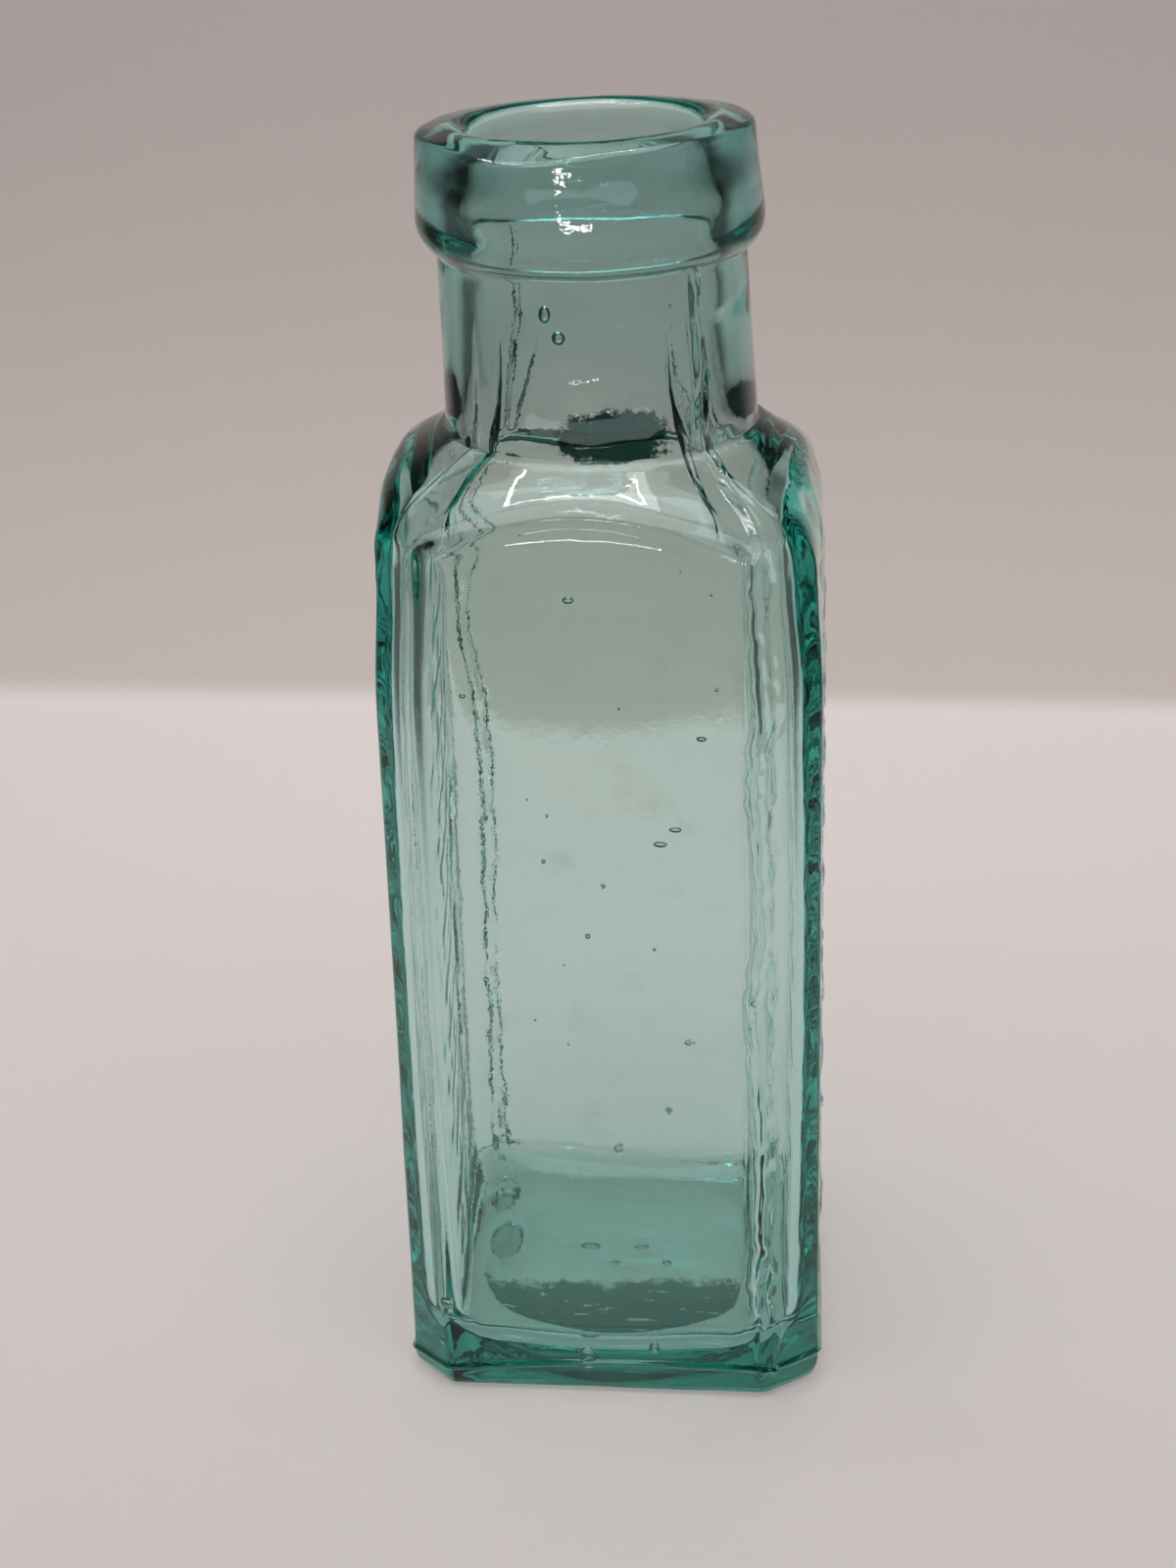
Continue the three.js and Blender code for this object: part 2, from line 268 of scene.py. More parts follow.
# Noise on the glass: length of its waves, detail and roughness
SKIN_BUMP_NOISE = (1.3, 3, 0.6)
DULL_NOISE = (7, 6, 0.65)
DUST_NOISE = (9, 8, 0.7)
# the next three are for the painted shade on the inside floor
FLOOR_SHADE_GRAIN_NOISE = (1.3, 6, 0.8)
FLOOR_SHADE_PATCH_NOISE = (7, 2, 0.55)
FLOOR_SHADE_GAP_NOISE = (1.1, 4, 0.75)
# noise for the painted shade in the neck
NECK_SHADE_NOISE = (1.3, 5, 0.75)

# Marks on the glass: dullness, greying up the neck, painted shade at the foot, dust and specks. Pairs of
# heights are where one colour gives way to the next.
DULL_SPAN = (0.5, 0.8)  # from here to here in the noise, the glass turns dull
DULL_ROUGHNESS = (0.0, 0.05)
CLEAR_GLASS_COLOUR = (0.98, 0.975, 0.955, 1)
# the glass turns greyer from the upper panels up to the neck
NECK_GREY_COLOUR = (0.9, 0.905, 0.895, 1)
NECK_GREY_HEIGHTS = (58.0, 102.0)
# painted shade: the glass darkens to a deeper teal towards the foot, standing in for the shadowed table
# seen through the base
FOOT_SHADE_COLOUR = (0.6, 0.78, 0.75, 1)
FOOT_SHADE_HEIGHTS = (2.6, 5.2)
DUST_COLOUR = (0.86, 0.86, 0.84, 1)
DUST_SPAN = (0.56, 0.74)
SPECK_COLOUR = (0.12, 0.1, 0.07, 1)
SPECK_PITCH = 2.6
SPECK_PICK = (0.86, 1.0)  # only cells that draw a number in this range hold a speck
SPECK_SIZES = (0.0, 0.07)  # radius in shares of the pitch

# Painted shade on the front of the inside floor: a dark patch standing in for the shadowed table seen
# through the base
FLOOR_SHADE_COLOUR = (0.0005, 0.075, 0.058, 1)
FLOOR_SHADE_EDGE = -4.2
FLOOR_SHADE_RAGGED = 6.5
FLOOR_SHADE_BLUR = 0.9
FLOOR_SHADE_RADIUS = 13.6
FLOOR_SHADE_HEIGHTS = (1.6, 5.2)
FLOOR_SHADE_GAP_STRETCH = (0.25, 1, 1)  # streaks run across the painted shade, where it is thinner
FLOOR_SHADE_GAP_SPAN = (0.6, 0.64)
FLOOR_SHADE_GAP_LEFT = 0.15  # share of the painted shade that is left in a streak

# Painted shade on the inside of the neck's front: a dark patch standing in for the dark reflection low in
# the neck
NECK_SHADE_COLOUR = (0.0002, 0.006, 0.0045, 1)
NECK_SHADE_PLACE = (2.1, 90.5)  # across and up
NECK_SHADE_HALF = (4.7, 2.6)
NECK_SHADE_FRONT = -8.2
NECK_SHADE_DEPTH = 12.3
NECK_SHADE_RAGGED = 2.2
NECK_SHADE_EDGE = (0.75, 1.05)

# Stage
# painted light: the floor is darker at the front and brighter towards the back
FLOOR_NEAR_COLOUR = (0.70, 0.64, 0.625, 1)
FLOOR_FAR_COLOUR = (0.91, 0.825, 0.805, 1)
# painted light: the backdrop is lighter near the floor and darker higher up
WALL_LOW_COLOUR = (0.745, 0.66, 0.62, 1)
WALL_HIGH_COLOUR = (0.54, 0.475, 0.455, 1)
# painted shade: above the picture the backdrop turns dark, standing in for the dim room
WALL_DARK_COLOUR = (0.10, 0.09, 0.085, 1)
PAPER_ROUGHNESS = 0.9
GLOW_SHARE = 0.4
GLOW_STRENGTH = 0.85
FLOOR_FRONT = -120.0
FLOOR_DROP = 0.1  # the table lies this far under the foot, so that the two never share a face
FLOOR_BACK_EDGE = 142.3
BEND_RADIUS = 4.0
BEND_STEPS = 8
EDGE_SOFTNESS = 3.0
WALL_HIGH = 110.0  # height where the backdrop leaves the picture
# height where the painted shade on the backdrop is full
WALL_DARK = 190.0
POOL_BACK = 60.0  # the pool of light lies round this far behind the bottle
POOL_EDGE = (135.0, 230.0)
POOL_EDGE_COLOUR = (0.25, 0.25, 0.25, 1)
STAGE_REACH = 1500.0
BACKDROP_HEIGHT = 900.0

# Room: its light by direction, where a sine is 1 straight back or straight up
ROOM_COLOUR = (1.0, 0.98, 0.97, 1)
ROOM_BACK_SINES = (-0.95, -0.25)
ROOM_LEVELS = (0.05, 0.2)  # the room behind the camera is dark
ROOM_UP_SINES = (0.2, 0.5)
ROOM_UP_SHARES = (1.0, 0.1)  # and so is its ceiling

# Lamps
DOWN = (0, 0, -1)
ACROSS = (1, 0, 0)
BACKWARDS = (0, 1, 0)
SOFTBOX_PLACE = (0.0, -240.0, 480.0)
SOFTBOX_SIZE = (700.0, 360.0)
SOFTBOX_POWER = 1.7
PANEL_PLACE = (0.0, 25.0, 330.0)
PANEL_SIZE = (130.0, 80.0)
PANEL_POWER = 0.15
STRIP_WIDTH = 2.5
STRIP_RADIANCE = 40.0
# Ends of the light strips: two level ones behind the camera, and a frame overhead
FRONT_STRIPS = (
    ((-85.0, -330.0, 95.0), (38.0, -330.0, 95.0)),
    ((38.0, -330.0, 312.0), (-85.0, -330.0, 312.0)),
)
TOP_STRIPS = (
    ((-100.0, 5.0, 300.0), (45.0, 5.0, 300.0)),
    ((45.0, 5.0, 300.0), (45.0, 85.0, 300.0)),
    ((45.0, 85.0, 300.0), (-100.0, 85.0, 300.0)),
    ((-100.0, 85.0, 300.0), (-100.0, 5.0, 300.0)),
)

# Light paths that thick glass needs
GLASS_BOUNCES = 40
OTHER_BOUNCES = 16
CLAMP_INDIRECT = 20.0

# Sockets of the colour mix node, which has several of each name
MIX_FIRST = 6
MIX_SECOND = 7
MIX_RESULT = 2
TINY = 1e-9


def slope_of(degrees):
    return math.tan(math.radians(degrees))


def metres(sizes):
    return [size * MM for size in sizes]


def shares(steps):
    """Values from 0 to 1."""
    return [step / steps for step in range(steps + 1)]


def quarter_turns(steps):
    """Angles from 0 to a right angle."""
    return [share * math.pi / 2 for share in shares(steps)]


def levels(low, high, pitch):
    """Heights between two others, both left out."""
    count = max(1, round((high - low) / pitch))
    return [low + (high - low) * step / count for step in range(1, count)]


def bezier(points, share):
    """A point on the Bezier curve through two, three or four points of any size."""
    points = [np.asarray(point, float) for point in points]
    while len(points) > 1:
        points = [a + (b - a) * share for a, b in zip(points, points[1:])]
    return points[0]


def smooth_step(low, high, value):
    share = np.clip((value - low) / (high - low), 0, 1)
    return share * share * (3 - 2 * share)


def around_four_sides(quarter):
    """Repeats the front panel and its right corner round the other three sides."""
    quarter = np.asarray(quarter)
    sides = [quarter]
    for _ in range(3):
        x, y = sides[-1].T
        sides.append(np.stack([-y, x], 1))
    return np.concatenate(sides)


def run_of(points, steps):
    return [bezier(points, step / steps) for step in range(steps)]


def panel_run(half_length, depth):
    """Points along a panel from its left end, close together at both ends."""
    reach = half_length - EDGE_OFFSETS[-1]
    left = [-half_length + offset for offset in EDGE_OFFSETS[:-1]]
    middle = [-reach + 2 * reach * share for share in shares(PANEL_STEPS)]
    right = [half_length - offset for offset in EDGE_OFFSETS[-2:0:-1]]
    return [(x, -depth) for x in left + middle + right]


def square_section(inset):
    """The chamfered square with rounded edges, drawn in by an inset."""
    half = BODY_WIDTH / 2 - inset
    chamfer = CORNER_CHAMFER - inset * (2 - math.sqrt(2))
    cut = EDGE_ROUND * math.tan(math.pi / 8)
    skew = cut * math.sqrt(0.5)
    front_edge = (half - chamfer, -half)
    side_edge = (half, chamfer - half)
    panel_end = (front_edge[0] - cut, -half)
    chamfer_start = (front_edge[0] + skew, front_edge[1] + skew)
    chamfer_end = (side_edge[0] - skew, side_edge[1] - skew)
    side_start = (half, side_edge[1] + cut)
    return around_four_sides(
        panel_run(panel_end[0], half)
        + run_of([panel_end, front_edge, chamfer_start], ROUND_STEPS)
        + run_of([chamfer_start, chamfer_end], CHAMFER_STEPS)
        + run_of([chamfer_end, side_edge, side_start], ROUND_STEPS)
    )


def cavity_section(inset):
    """The square hollow with its round corners, drawn in by an inset."""
    half = BODY_WIDTH / 2 - WALL - inset
    corner = half - CAVITY_CORNER
    steps = CHAMFER_STEPS + 2 * ROUND_STEPS
    turns = [math.radians(-90 + 90 * step / steps) for step in range(steps)]
    arc = [
        (corner + CAVITY_CORNER * math.cos(turn), -corner + CAVITY_CORNER * math.sin(turn))
        for turn in turns
    ]
    return around_four_sides(run_of([(-corner, -half), (corner, -half)], FLAT_STEPS) + arc)


DIRECTIONS = square_section(0)
DIRECTIONS = DIRECTIONS / np.linalg.norm(DIRECTIONS, axis=1, keepdims=True)
HEADINGS = np.arctan2(DIRECTIONS[:, 1], DIRECTIONS[:, 0])


def circle_section(radius):
    return DIRECTIONS * radius


def ring(section, height):
    """A section at a height, which may differ from point to point. Above the neck's foot it leans."""
    height = np.broadcast_to(np.asarray(height, float), (AROUND,))
    lean = np.maximum(0, height.mean() - NECK_FOOT) * slope_of(NECK_LEAN)
    return np.column_stack([section[:, 0] - lean, section[:, 1], height])


def rim_dip():
    """Depth of the low spot in the rim in each direction."""
    angles = np.degrees(HEADINGS) - RIM_DIP_HEADING
    share = np.abs((angles + 180) % 360 - 180) / RIM_DIP_SPREAD
    return np.where(share < 1, RIM_DIP * (1 + np.cos(np.minimum(share, 1) * math.pi)) / 2, 0)


def lip_ring(radius, height):
    """A ring of the lip, tipped with the slanted top face and lowered at the low spot."""
    share = min(max((height - COLLAR_WIDEST) / COLLAR_SIDE, 0), 1)
    heading = math.radians(LIP_SLANT_HEADING)
    uphill = np.array([math.cos(heading), math.sin(heading)])
    section = circle_section(radius)
    climb = share * slope_of(LIP_SLANT) * (section @ uphill)
    low = min(max((radius - CROWN_RADIUS) / (RIM_RADIUS - CROWN_RADIUS), 0), 1)
    flat = ring(section, height)
    flat[:, 2] += climb - share * low * rim_dip()
    return flat


def outward(grid):
    """Directions out of the glass at each point of a grid of rings."""
    along = np.roll(grid, -1, axis=1) - np.roll(grid, 1, axis=1)
    up = np.empty_like(grid)
    up[1:-1] = grid[2:] - grid[:-2]
    up[0] = grid[1] - grid[0]
    up[-1] = grid[-1] - grid[-2]
    normals = np.cross(along, up)
    return normals / np.maximum(np.linalg.norm(normals, axis=2, keepdims=True), TINY)


def heel_top():
    """Height of the top of the heel in each direction. It wanders, as the mould's foot seam does."""
    wave = sum(height * np.sin(count * HEADINGS + phase) for height, count, phase in HEEL_WAVES)
    return HEEL_HEIGHT + wave


def wall_inset(height):
    """How far the inside of a panel stands in at a height: the wall is thinnest half way up."""
    middle = (CAVITY_FOOT + SHOULDER_START) / 2
    share = (height - middle) / (SHOULDER_START - middle)
    return WALL_BOW * share * share


def floor_height(section):
    """Height of the inside floor at some points: it climbs a little from the front to the back."""
    share = np.clip((section[:, 1] + FLOOR_HALF) / (2 * FLOOR_HALF), 0, 1)
    return FLOOR_EDGE + FLOOR_RISE * share


def under_rings():
    """The push-up from its middle out, and the bearing ring."""
    rings = []
    for step in shares(UNDER_STEPS)[1:]:
        share = 1 - (1 - step) ** UNDER_CROWDING
        section = circle_section(PUSH_UP_RADIUS * share)
        sink = PUSH_UP_FADE * smooth_step(-PUSH_UP_RADIUS, PUSH_UP_RADIUS, section[:, 1])
        rings.append(ring(section, PUSH_UP_HEIGHT * (1 - share**PUSH_UP_POWER) * (1 - sink)))
    for share in shares(BEARING_STEPS)[1:-1]:
        flat = circle_section(PUSH_UP_RADIUS) * (1 - share) + square_section(HEEL_INSET) * share
        rings.append(ring(flat, BEARING_ROUND * share * share))
    return rings


def heel_rings():
    """The rounded heel, up to the crease."""
    rings = []
    top = heel_top() + CREASE_OFFSETS[0]
    for turn in quarter_turns(HEEL_STEPS)[:-1]:
        inset = HEEL_INSET * (1 - math.sin(turn)) ** HEEL_INSET_POWER
        rise = (top - BEARING_ROUND) * (1 - math.cos(turn)) ** HEEL_RISE_POWER
        rings.append(ring(square_section(inset), BEARING_ROUND + rise))
    return rings


def crease_rings():
    """Fine rings across the crease at the heel's top."""
    return [ring(square_section(0), heel_top() + offset) for offset in CREASE_OFFSETS]


def body_rings():
    """The four panels. The lowest rings go from the wandering crease to level ones."""
    low = heel_top() + CREASE_OFFSETS[-1]
    foot = HEEL_HEIGHT + LEVEL_ABOVE_HEEL
    heights = [low * (1 - share) + foot * share for share in shares(LEVELLING_STEPS)[1:]]
    heights += levels(foot, SHOULDER_START, BODY_PITCH)
    return [ring(square_section(0), height) for height in heights]


def shoulder_rings():
    """Rings from the square to the neck's circle. Panels and corners keep the same slope at the top."""
    square = square_section(0)
    way = circle_section(NECK_FOOT_RADIUS + NECK_FOOT_FILLET) - square
    run = np.linalg.norm(way, axis=1)
    fall = run * SHOULDER_TOP * slope_of(SHOULDER_TOP_SLOPE)
    cornered = (run - run.min()) / (run.max() - run.min())
    upright = SHOULDER_UPRIGHT + (CORNER_UPRIGHT - SHOULDER_UPRIGHT) * cornered
    none = run * 0
    rings = []
    for share in shares(SHOULDER_STEPS):
        inward = bezier([none, none, run * (1 - SHOULDER_TOP), run], share)
        climb = bezier([none, SHOULDER_RISE * upright, SHOULDER_RISE - fall, none + SHOULDER_RISE], share)
        section = square + way * (inward / run)[:, None]
        rings.append(np.column_stack([section, SHOULDER_START + climb]))
    return rings


def neck_rings():
    """The fillet at the neck's foot and the tapered tube."""
    low = NECK_FOOT + NECK_FOOT_FILLET
    fillet = [
        (NECK_FOOT_RADIUS + NECK_FOOT_FILLET, NECK_FOOT),
        (NECK_FOOT_RADIUS, NECK_FOOT),
        (NECK_FOOT_RADIUS, low),
    ]
    profile = [bezier(fillet, share) for share in FILLET_SHARES]
    for height in levels(low, NECK_TOP, NECK_PITCH):
        share = (height - low) / (NECK_TOP - low)
        profile.append((NECK_FOOT_RADIUS + (NECK_TOP_RADIUS - NECK_FOOT_RADIUS) * share, height))
    return [ring(circle_section(radius), height) for radius, height in profile]


def lip_rings():
    """The collar's round underside, its side, the rim, the crown and the rounded mouth."""
    profile = []
    for turn in quarter_turns(COLLAR_STEPS):
        radius = NECK_TOP_RADIUS + (COLLAR_RADIUS - NECK_TOP_RADIUS) * math.sin(turn)
        profile.append((radius, COLLAR_WIDEST - COLLAR_UNDERSIDE * math.cos(turn)))
    for share in shares(COLLAR_SIDE_STEPS)[1:-1]:
        radius = COLLAR_RADIUS + (RIM_RADIUS - COLLAR_RADIUS) * share
        profile.append((radius, COLLAR_WIDEST + (COLLAR_SIDE - RIM_ROUND) * share))
    rim = [
        (RIM_RADIUS, RIM_HEIGHT - RIM_ROUND),
        (RIM_RADIUS, RIM_HEIGHT),
        (RIM_RADIUS - RIM_ROUND, RIM_HEIGHT + CROWN_RISE * RIM_ROUND / (RIM_RADIUS - CROWN_RADIUS)),
    ]
    mouth = [
        (CROWN_RADIUS, CROWN_HEIGHT),
        (MOUTH_RADIUS, CROWN_HEIGHT),
        (MOUTH_RADIUS, BORE_TOP),
    ]
    profile += [bezier(rim, share) for share in shares(RIM_STEPS)]
    profile += [bezier([rim[-1], mouth[0]], share) for share in shares(CROWN_STEPS)[1:-1]]
    profile += [bezier(mouth, share) for share in shares(MOUTH_STEPS)]
    return [lip_ring(radius, height) for radius, height in profile]


def bore_rings():
    """The inside of the lip and the upper neck, from the top down."""
    rings = []
    for height in reversed(levels(NECK_FOOT + BORE_FLARE, BORE_TOP, BORE_PITCH)):
        widening = smooth_step(NECK_TOP - BORE_WIDENS_BELOW, COLLAR_WIDEST + BORE_WIDENS_ABOVE, height)
        closing = smooth_step(COLLAR_WIDEST + BORE_CLOSES_ABOVE, BORE_TOP + BORE_CLOSES_PAST, height)
        radius = NECK_BORE_RADIUS + (COLLAR_BORE_RADIUS - NECK_BORE_RADIUS) * widening
        radius += (MOUTH_RADIUS - COLLAR_BORE_RADIUS) * closing
        rings.append(lip_ring(radius, height))
    return rings


def keep_wall(points):
    """Draws in points of the inside that come too near to the neck's foot."""
    radius = np.linalg.norm(points[:, :2], axis=1)
    slope = SHOULDER_TOP_SLOPE
    roof = NECK_FOOT - THINNEST / math.cos(math.radians(slope))
    limit = NECK_FOOT_RADIUS + NECK_FOOT_FILLET + (roof - points[:, 2]) / slope_of(slope)
    limit = np.maximum(limit, NECK_FOOT_RADIUS - THINNEST)
    kept = -THINNEST_SOFTNESS * np.logaddexp(-radius / THINNEST_SOFTNESS, -limit / THINNEST_SOFTNESS)
    return np.column_stack([points[:, :2] * (kept / radius)[:, None], points[:, 2]])


def inner_shoulder_rings():
    """The shoulder's inside from the top down: a wall's thickness in, then a curve into the neck."""
    outer = np.array(shoulder_rings())
    inner = outer - outward(outer) * SHOULDER_WALL
    cavity = ring(cavity_section(wall_inset(SHOULDER_START)), SHOULDER_START)
    change = cavity - inner[0]
    count = len(inner)
    rings = []
    for number in range(int(count * SHOULDER_INSIDE)):
        fade = 1 - smooth_step(0.0, INSIDE_BLEND, number / (count - 1))
        rings.append(inner[number] + change * fade)
    top = ring(circle_section(NECK_BORE_RADIUS), NECK_FOOT + BORE_FLARE)
    last = rings[-1]
    slope = last - rings[-2]
    slope = slope / np.linalg.norm(slope, axis=1, keepdims=True)
    reach = np.linalg.norm(top - last, axis=1, keepdims=True)
    rise = np.array([0, 0, 1.0])
    curve = [last, last + slope * reach * INSIDE_LOW_PULL, top - rise * reach * INSIDE_HIGH_PULL, top]
    rings += [keep_wall(bezier(curve, share)) for share in shares(INSIDE_STEPS)[1:]]
    return rings[::-1]


def cavity_rings():
    """The inside of the panels, from the top down."""
    heights = reversed(levels(CAVITY_FOOT, SHOULDER_START, CAVITY_PITCH))
    return [ring(cavity_section(wall_inset(height)), height) for height in heights]


def floor_rings():
    """The curve from the inside walls to the floor, and the floor in to its middle."""
    wall_foot = cavity_section(wall_inset(CAVITY_FOOT))
    square = cavity_section(BODY_WIDTH / 2 - WALL - FLOOR_HALF)
    edge = square * (1 - FLOOR_ROUNDNESS) + circle_section(FLOOR_HALF) * FLOOR_ROUNDNESS
    edge_height = floor_height(edge)
    rings = []
    for turn in quarter_turns(FLOOR_CURVE_STEPS):
        share = 1 - math.cos(turn)
        section = wall_foot * (1 - share) + edge * share
        rings.append(ring(section, CAVITY_FOOT - (CAVITY_FOOT - edge_height) * math.sin(turn)))
    for share in shares(FLOOR_STEPS)[1:-1]:
        section = edge * (1 - share)
        rings.append(ring(section, floor_height(section)))
    return rings


def bottle_rings():
    """All rings of the skin with their zones, from under the bottle up the outside and down the inside."""
    zones = {
        "under": under_rings(),
        "heel": heel_rings(),
        "crease": crease_rings(),
        "body": body_rings(),
        "shoulder": shoulder_rings(),
        "neck": neck_rings(),
        "lip": lip_rings(),
        "bore": bore_rings(),
        "inner_shoulder": inner_shoulder_rings(),
        "cavity": cavity_rings(),
        "floor": floor_rings(),
    }
    names = [name for name, rings in zones.items() for _ in rings]
    return names, np.array([points for rings in zones.values() for points in rings])


def waves(points, wavelength, seed):
    """Smooth noise from -1 to 1 at each point."""
    shift = Vector([seed * part for part in WAVE_SHIFT])
    scale = 1.0 / wavelength
    return np.array([noise.noise(Vector(point) * scale + shift) for point in points])


def wander(height, wavelength, seed):
    """Smooth noise from -1 to 1 along one direction."""
    return noise.noise(Vector((height / wavelength, *(seed * part for part in WANDER_SHIFT))))


def seam_height(points):
    """Height of the two mould seams at the points of one ring."""
    level = points[:, 2].mean()
    steps = np.linalg.norm(np.roll(points, -1, axis=0) - points, axis=1)
    along = np.concatenate([[0], np.cumsum(steps)])
    length = along[-1]
    climbed = smooth_step(SHOULDER_START, NECK_FOOT, level)
    index = SEAM_ON_BODY + (SEAM_ON_NECK - SEAM_ON_BODY) * climbed
    total = np.zeros(AROUND)
    for side in (0, 1):
        place = np.interp(index + side * AROUND / 2, np.arange(AROUND + 1), along)
        away = (along[:-1] - place + length / 2) % length - length / 2
        for strand in SEAM_STRANDS:
            seed = SEAM_SEED + side * SEAM_SIDE_SEED + strand
            centre = strand * SEAM_STRAND_GAP
            uneven = 0
            for wave in SEAM_WANDER_WAVES:
                centre += SEAM_WANDER * wander(level, wave, seed)
                seed += 1
            for wave in SEAM_UNEVEN_WAVES:
                uneven += SEAM_UNEVEN * wander(level, wave, seed)
                seed += 1
            strength = SEAM_HEIGHT * (SEAM_MEAN + uneven)
            total += max(strength, 0) * np.exp(-(((away - centre) / SEAM_WIDTH) ** 2))
    return total


def bar_height(points):
    """Height of the plain raised bars on the left and right panels at some points."""
    total = np.zeros(len(points))
    on_panel = np.abs(points[:, 0]) > BODY_WIDTH / 2 - BAR_DEPTH
    across = points[:, 1]
    past_end = np.maximum(np.abs(across) - (BAR_LENGTH - BAR_WIDTH) / 2, 0)
    for number in range(BAR_COUNT):
        level = points[:, 2] - (BAR_FIRST + BAR_PITCH * number) - BAR_SLANT * across
        inside = BAR_WIDTH / 2 - np.sqrt(level**2 + past_end**2)
        total += BAR_HEIGHT * smooth_step(0, BAR_SOFTNESS, inside)
    return np.where(on_panel, total, 0)


def ripple_height(points):
    """Height of the hammered look of the left and right panels at some points."""
    start, full = (BODY_WIDTH / 2 - depth for depth in RIPPLE_DEPTHS)
    on_side = smooth_step(start, full, np.abs(points[:, 0]))
    on_side *= 1 - smooth_step(*RIPPLE_FADE, np.abs(points[:, 1]))
    stretched = points * (1, 1, RIPPLE_STRETCH)
    return RIPPLE_HEIGHT * on_side * waves(stretched, RIPPLE_WAVE, RIPPLE_SEED)


def crease_height(points):
    """Height of the thin line along the heel's top at the points of one ring."""
    ridge = CREASE_HEIGHT * (1 - CREASE_FADE * smooth_step(0, 1, DIRECTIONS[:, 1]))
    return ridge * np.exp(-(((points[:, 2] - heel_top()) / CREASE_WIDTH) ** 2))


def uneven_skin(zones, grid):
    """The rings with the unevenness of the glass and the relief of the mould."""
    normals = outward(grid)
    moved = grid.copy()
    for number, zone in enumerate(zones):
        points = grid[number]
        long_height, long_wave, short_height, short_wave = UNEVEN[zone]
        seed = OUTER_SEED if zone in OUTER_ZONES else INNER_SEED
        height = long_height * waves(points, long_wave, seed)
        height += short_height * waves(points, short_wave, seed + SHORT_WAVE_SEED)
        if zone in SEAM_ZONES:
            height += seam_height(points)
        if zone == "body":
            height += bar_height(points)
            height += ripple_height(points)
        if zone == "crease":
            height += crease_height(points)
        moved[number] += normals[number] * height[:, None]
    return moved


def sculpt(points):
    """Makes the bottle crooked: corners drawn in, shoulder to the left, right side flared and turned."""
    x, y, z = points.T
    shoulder = smooth_step(*SHOULDER_SHIFT_IN, z) * (1 - smooth_step(*SHOULDER_SHIFT_OUT, z))
    right = smooth_step(*RIGHT_FLARE_ACROSS, x)
    flare = smooth_step(*RIGHT_FLARE_IN, z) * (1 - smooth_step(*RIGHT_FLARE_OUT, z))
    diagonal = np.abs(2 * x * y) / np.maximum(x * x + y * y, 1)
    tuck = CORNER_TUCK * smooth_step(*CORNER_TUCK_DIAGONAL, diagonal)
    tuck = 1 - tuck * smooth_step(*CORNER_TUCK_IN, z) * (1 - smooth_step(*CORNER_TUCK_OUT, z))
    x, y = x * tuck, y * tuck
    turned = 0.5 - y / (2 * RIGHT_TURN_REACH)
    turned *= RIGHT_TURN * smooth_step(*RIGHT_TURN_ACROSS, x)
    shift = -SHOULDER_SHIFT * shoulder + RIGHT_FLARE * flare * right + turned
    return np.column_stack([x + shift, y, z])


def tube_faces(first, rings, sides):
    """Faces between rings of points, which are numbered one ring after the other."""
    faces = []
    for side in range(sides):
        after = (side + 1) % sides
        for number in range(rings - 1):
            low = first + number * sides
            high = low + sides
            faces.append((low + side, low + after, high + after, high + side))
    return faces


def cap_faces(middle, first, sides):
    """Faces from a middle point to a ring, in the ring's own direction."""
    return [(first + side, first + (side + 1) % sides, middle) for side in range(sides)]


def flipped(faces):
    """The same faces, looking the other way."""
    return [face[:1] + face[:0:-1] for face in faces]


def closed_faces(first, rings, sides):
    """Faces of a closed skin, numbered from a middle point over its rings to another middle point."""
    last = first + 1 + rings * sides
    low_cap = flipped(cap_faces(first, first + 1, sides))
    high_cap = cap_faces(last, last - sides, sides)
    return low_cap + tube_faces(first + 1, rings, sides) + high_cap


def bubble(centre, sizes):
    """Points of a hollow in the glass, from its lowest point up."""
    points = [(0, 0, -1)]
    for step in range(1, BUBBLE_RINGS):
        tilt = math.pi * step / BUBBLE_RINGS
        for side in range(BUBBLE_SIDES):
            turn = 2 * math.pi * side / BUBBLE_SIDES
            across = math.sin(tilt)
            points.append((across * math.cos(turn), across * math.sin(turn), -math.cos(tilt)))
    points.append((0, 0, 1))
    return np.array(centre) + np.array(points) * sizes


def smooth_object(name, points, faces):
    """A mesh with smooth shading, placed in the scene."""
    mesh = bpy.data.meshes.new(name)
    mesh.from_pydata([Vector(point) * MM for point in points], [], faces)
    mesh.validate()
    mesh.polygons.foreach_set("use_smooth", [True] * len(mesh.polygons))
    made = bpy.data.objects.new(name, mesh)
    bpy.context.collection.objects.link(made)
    return made


def glass_skin(name):
    """The bottle's closed skin, with the bubbles as hollows whose faces look out of the glass."""
    zones, grid = bottle_rings()
    grid = uneven_skin(zones, grid)
    under_middle = (0, 0, PUSH_UP_HEIGHT * (1 - PUSH_UP_FADE / 2))
    floor_middle = (0, 0, FLOOR_EDGE + FLOOR_RISE / 2)
    points = sculpt(np.vstack([[under_middle], grid.reshape(-1, 3), [floor_middle]]))
    faces = closed_faces(0, len(grid), AROUND)
    for centre, sizes in BUBBLES:
        faces += flipped(closed_faces(len(points), BUBBLE_RINGS - 1, BUBBLE_SIDES))
        points = np.vstack([points, bubble(centre, sizes)])
    return smooth_object(name, points, faces)


